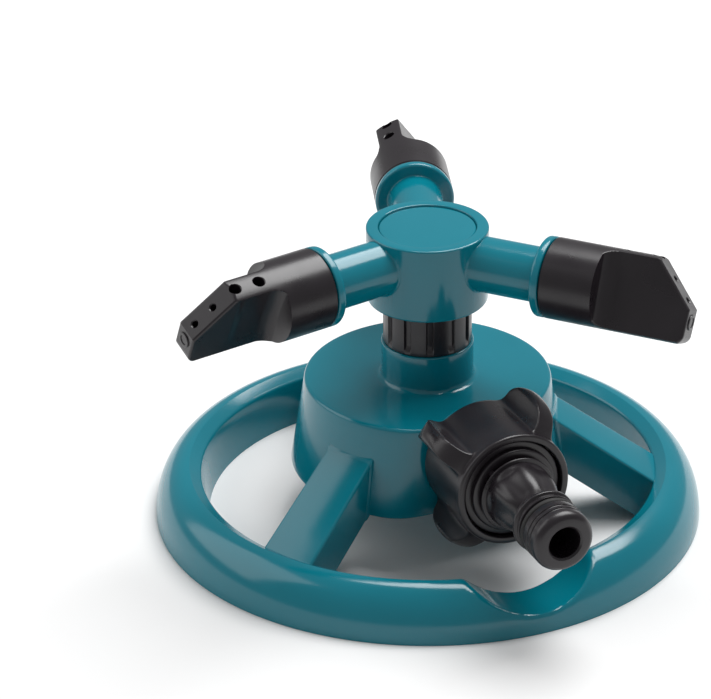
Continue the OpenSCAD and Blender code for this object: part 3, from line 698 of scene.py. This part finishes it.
def make_nipple(material):
    """The nipple's closed outline carried round the inlet axis, its neck hollowed between six ribs, with four
    short fins welded on in front of the flange."""
    back, tip = nipple_back, nipple_tip
    flange = back + 5.9
    front = flange + 2.9
    seal = tip - 9
    shoulder_r = 10.4
    groove_r = nose_r - 1.62
    outline = np.concatenate([
        [[4.4, back], [9.4, back], [10.3, back + 0.8], [10.3, back + 2.1], [9.4, back + 2.1], [9.4, flange]],
        [[13.6, flange]], arc((13.1, front - 0.5), 0.5, 0, 90, 4), [[11.9, front]],
        arc((11.3, front + 1.1), 0.5, 0, 90, 4), [[8.4, front + 1.7]],
        arc((shoulder_r - 0.4, front + 3.4), 0.4, -90, 60, 6),
        arc((1.4, front + 5.2), (8.0, 12.5), -6, 52, 26),
        [[nose_r - 1.0, seal - 5.9], [nose_r - 1.0, seal - 5.0]],
        arc((nose_r - 0.25, seal - 4.1), 0.6, 200, 0, 9)[2:], [[nose_r + 0.35, seal - 3.6]],
        arc((nose_r, seal - 3.5), 0.35, 0, 90, 4), [[nose_r - 0.35, seal - 2.9]],
        [[nose_r - 0.35, seal - 2.3]], arc((nose_r - 0.35, seal - 1.7), 0.35, -90, 90, 6),
        [[groove_r, seal - 1.0], [groove_r, seal + 1.0]], arc((nose_r - 0.4, seal + 1.4), 0.4, -90, 0, 4),
        [[nose_r, seal + 3.0]], arc((nose_r, seal + 3.5), 0.32, -90, -270, 5), [[nose_r, seal + 4.2]],
        [[nose_r, seal + 4.6]], arc((nose_r, seal + 5.1), 0.32, -90, -270, 5), [[nose_r, tip - 2.3]],
        arc((nose_r - 2.2, tip - 2.2), 2.2, 4, 74, 8), [[4.9, tip], [4.4, tip - 0.5]],
    ])
    grid = turned(outline, 180)
    radius = np.hypot(grid[..., 0], grid[..., 1])
    ribs, rib_turn, valley_depth, inside_r = 6, math.radians(88), 0.8, 6
    valley = 0.5 - 0.5 * np.cos(ribs * (np.arctan2(grid[..., 1], grid[..., 0]) - rib_turn))
    along = ease((grid[..., 2] - front - 4.0) / 2.0) * ease((front + 16.2 - grid[..., 2]) / 3.0)
    along = along * (radius > inside_r)
    grid[..., :2] *= (1 - valley_depth * valley * along / radius)[..., None]
    joined = [solid(on_inlet(grid), capped=False)]
    half, fin_low, fin_high = 0.7, front + 1, front + 3.5
    corners = ((-half, fin_low), (half, fin_low), (half, fin_high), (-half, fin_high))
    for k in range(4):
        turn = math.radians(45 + 90 * k)
        fin = np.array([[[u, v, w] for v, w in corners] for u in (7.5, 10.1)], float)
        fin = np.stack([fin[..., 0] * math.cos(turn) - fin[..., 1] * math.sin(turn),
                        fin[..., 0] * math.sin(turn) + fin[..., 1] * math.cos(turn), fin[..., 2]], -1)
        joined.append(solid(on_inlet(fin)))
    piece = weld("hose_nipple_moulding", joined)
    return finished(piece, "nipple", "hose_nipple", material)


# ---------- materials ----------

def linear(hex_colour):
    """An sRGB hex colour as linear RGBA."""
    parts = [int(hex_colour[i:i + 2], 16) / 255 for i in (1, 3, 5)]
    return [p / 12.92 if p <= 0.04045 else ((p + 0.055) / 1.055) ** 2.4 for p in parts] + [1.0]


def node(tree, kind, inputs=None, **settings):
    """Adds one node. inputs gives each socket a value or another node's output to link; settings are its
    options."""
    made = tree.nodes.new(kind)
    for name, value in settings.items():
        setattr(made, name, value)
    for socket, value in (inputs or {}).items():
        if isinstance(value, bpy.types.NodeSocket):
            tree.links.new(value, made.inputs[socket])
        else:
            made.inputs[socket].default_value = value
    return made


def moulded(name, deep, pale, rough, rough_swing, grain_mm, grain_depth_mm, flow_mm, specular_ior):
    """A moulded polymer: two close shades that drift over flow_mm, a fine skin of grain_mm, and an uneven
    gloss."""
    material = bpy.data.materials.new(name)
    material.use_nodes = True
    tree = material.node_tree
    tree.nodes.clear()
    place = node(tree, "ShaderNodeTexCoord").outputs["Object"]
    drift = node(tree, "ShaderNodeTexNoise", {"Vector": place, "Scale": 1 / (flow_mm * MM), "Detail": 3.0})
    factor, shade_a, shade_b, mixed = 0, 6, 7, 2  # the mix node's sockets for colours, by number
    colour = node(tree, "ShaderNodeMix", {
        factor: drift.outputs["Fac"], shade_a: linear(deep), shade_b: linear(pale)}, data_type="RGBA")
    skin = node(tree, "ShaderNodeTexNoise", {"Vector": place, "Scale": 1 / (grain_mm * MM), "Detail": 2.0})
    gloss = node(tree, "ShaderNodeMapRange", {
        "Value": drift.outputs["Fac"], "From Min": 0.3, "From Max": 0.7,
        "To Min": rough - rough_swing, "To Max": rough + rough_swing})
    bump = node(tree, "ShaderNodeBump", {
        "Height": skin.outputs["Fac"], "Strength": 1.0, "Distance": grain_depth_mm * MM})
    shader = node(tree, "ShaderNodeBsdfPrincipled", {
        "Base Color": colour.outputs[mixed], "Roughness": gloss.outputs["Result"],
        "Normal": bump.outputs["Normal"], "IOR": specular_ior})
    node(tree, "ShaderNodeOutputMaterial", {"Surface": shader.outputs["BSDF"]})
    return material


def stainless():
    """Turned stainless steel: bright metal with rings about the upright axis. The rings are about 3 mm apart,
    coarser than real turning marks, so that they show."""
    material = bpy.data.materials.new("turned_stainless_steel")
    material.use_nodes = True
    tree = material.node_tree
    tree.nodes.clear()
    place = node(tree, "ShaderNodeTexCoord").outputs["Object"]
    ring_mm, radians_per_scale = 0.5, 20  # the wave's angle is 20 times its scale times the distance
    lines = node(tree, "ShaderNodeTexWave", {
        "Vector": place, "Scale": 1 / (ring_mm * MM) / radians_per_scale, "Distortion": 0.4},
        wave_type="RINGS", rings_direction="Z")
    gloss = node(tree, "ShaderNodeMapRange", {"Value": lines.outputs["Fac"], "To Min": 0.22, "To Max": 0.38})
    shader = node(tree, "ShaderNodeBsdfPrincipled", {
        "Base Color": linear("#C4C2BE"), "Metallic": 1.0, "Roughness": gloss.outputs["Result"]})
    node(tree, "ShaderNodeOutputMaterial", {"Surface": shader.outputs["BSDF"]})
    return material


# Polished-tool ABS: deep teal with a wet gloss and the faint ripple of a mould's skin
teal_abs = moulded(
    "teal_gloss_abs", "#006C7B", "#047687", rough=0.16, rough_swing=0.03, grain_mm=3.0,
    grain_depth_mm=0.010, flow_mm=30, specular_ior=1.53)
# Spark-eroded glass-filled nylon: near black with a warm cast and a broken satin sheen
black_nylon = moulded(
    "black_satin_nylon", "#191519", "#1F1A1F", rough=0.30, rough_swing=0.05, grain_mm=0.35,
    grain_depth_mm=0.006, flow_mm=12, specular_ior=1.50)
# Pressed nitrile rubber: black, dull, with a soft skin
nitrile = moulded(
    "nitrile_rubber", "#141414", "#1C1B1B", rough=0.68, rough_swing=0.05, grain_mm=0.25,
    grain_depth_mm=0.012, flow_mm=6, specular_ior=1.52)
# Plain nylon washer: off-white and slightly waxy
white_nylon = moulded(
    "natural_nylon", "#E4DFD2", "#EFEBE1", rough=0.42, rough_swing=0.05, grain_mm=0.4,
    grain_depth_mm=0.006, flow_mm=8, specular_ior=1.53)
# Machined fastener steel: bright, with soft rings where the cutter ran
steel = stainless()

make_base(teal_abs)
make_spindle(black_nylon)
make_hub(teal_abs)
make_cap(teal_abs)
for side in SIDES:
    make_nozzle(side, black_nylon)
make_nut(black_nylon)
make_nipple(black_nylon)

# Pieces that keep their CAD mesh: seals, washers, screen and screw, by the slot they are made in
kept = {"rubber": nitrile, "nylon": white_nylon, "steel": steel}
for entry in frame["record"]["subparts"]:
    if entry["material_slot"] in kept:
        mesh = frame["nodes"][entry["node"]].data
        mesh.materials.clear()
        mesh.materials.append(kept[entry["material_slot"]])


# ---------- floor, light and camera ----------

def make_floor():
    """A large flat pale sheet under the ring."""
    reach = 4000
    mesh = bpy.data.meshes.new("floor")
    corners = [(x * reach * MM, y * reach * MM, 0) for x, y in ((-1, -1), (1, -1), (1, 1), (-1, 1))]
    mesh.from_pydata(corners, [], [(0, 1, 2, 3)])
    floor = bpy.data.objects.new("floor", mesh)
    bpy.context.scene.collection.objects.link(floor)
    material = bpy.data.materials.new("pale_floor")
    material.use_nodes = True
    tree = material.node_tree
    tree.nodes.clear()
    shader = node(tree, "ShaderNodeBsdfPrincipled", {
        "Base Color": linear("#E2E2E2"), "Roughness": 0.75})
    node(tree, "ShaderNodeOutputMaterial", {"Surface": shader.outputs["BSDF"]})
    mesh.materials.append(material)


AIM_HEIGHT = 0.04  # metres, about the middle of the sprinkler


def softbox(name, azimuth, height, distance, size, watts):
    """A square area lamp aimed at the sprinkler; azimuth is measured like the camera's."""
    lamp = bpy.data.lights.new(name, "AREA")
    lamp.shape = "SQUARE"
    lamp.size = size
    lamp.energy = watts
    made = bpy.data.objects.new(name, lamp)
    bpy.context.scene.collection.objects.link(made)
    a, e = math.radians(azimuth), math.radians(height)
    made.rotation_euler = (math.pi / 2 - e, 0, a)
    toward = (math.sin(a) * math.cos(e), -math.cos(a) * math.cos(e), math.sin(e))
    made.location = [distance * v for v in toward]
    made.location[2] += AIM_HEIGHT


make_floor()
softbox("key", azimuth=115, height=64, distance=1.3, size=1.0, watts=24)
softbox("left", azimuth=-120, height=34, distance=1.3, size=1.1, watts=6)

scene = bpy.context.scene
world = bpy.data.worlds.new("studio")
world.use_nodes = True
background = world.node_tree.nodes["Background"]
background.inputs["Color"].default_value = (1, 1, 1, 1)
background.inputs["Strength"].default_value = 0.3
scene.world = world
scene.view_settings.view_transform = "Standard"

# The camera stands in front and to one side, looking down; distances in metres
view_turn = math.radians(-24.2)
view_down = math.radians(27.1)
view_pan = math.radians(1.107)
stand_off, eye_height = 0.899, 0.508
camera_data = bpy.data.cameras.new("camera")
camera_data.lens = 188.5
camera_data.clip_end = 20
camera = bpy.data.objects.new("camera", camera_data)
scene.collection.objects.link(camera)
camera.matrix_world = (
    Matrix.Translation((stand_off * math.sin(view_turn), -stand_off * math.cos(view_turn), eye_height))
    @ Matrix.Rotation(view_turn, 4, "Z") @ Matrix.Rotation(math.pi / 2 - view_down, 4, "X")
    @ Matrix.Rotation(view_pan, 4, "Y"))
scene.camera = camera
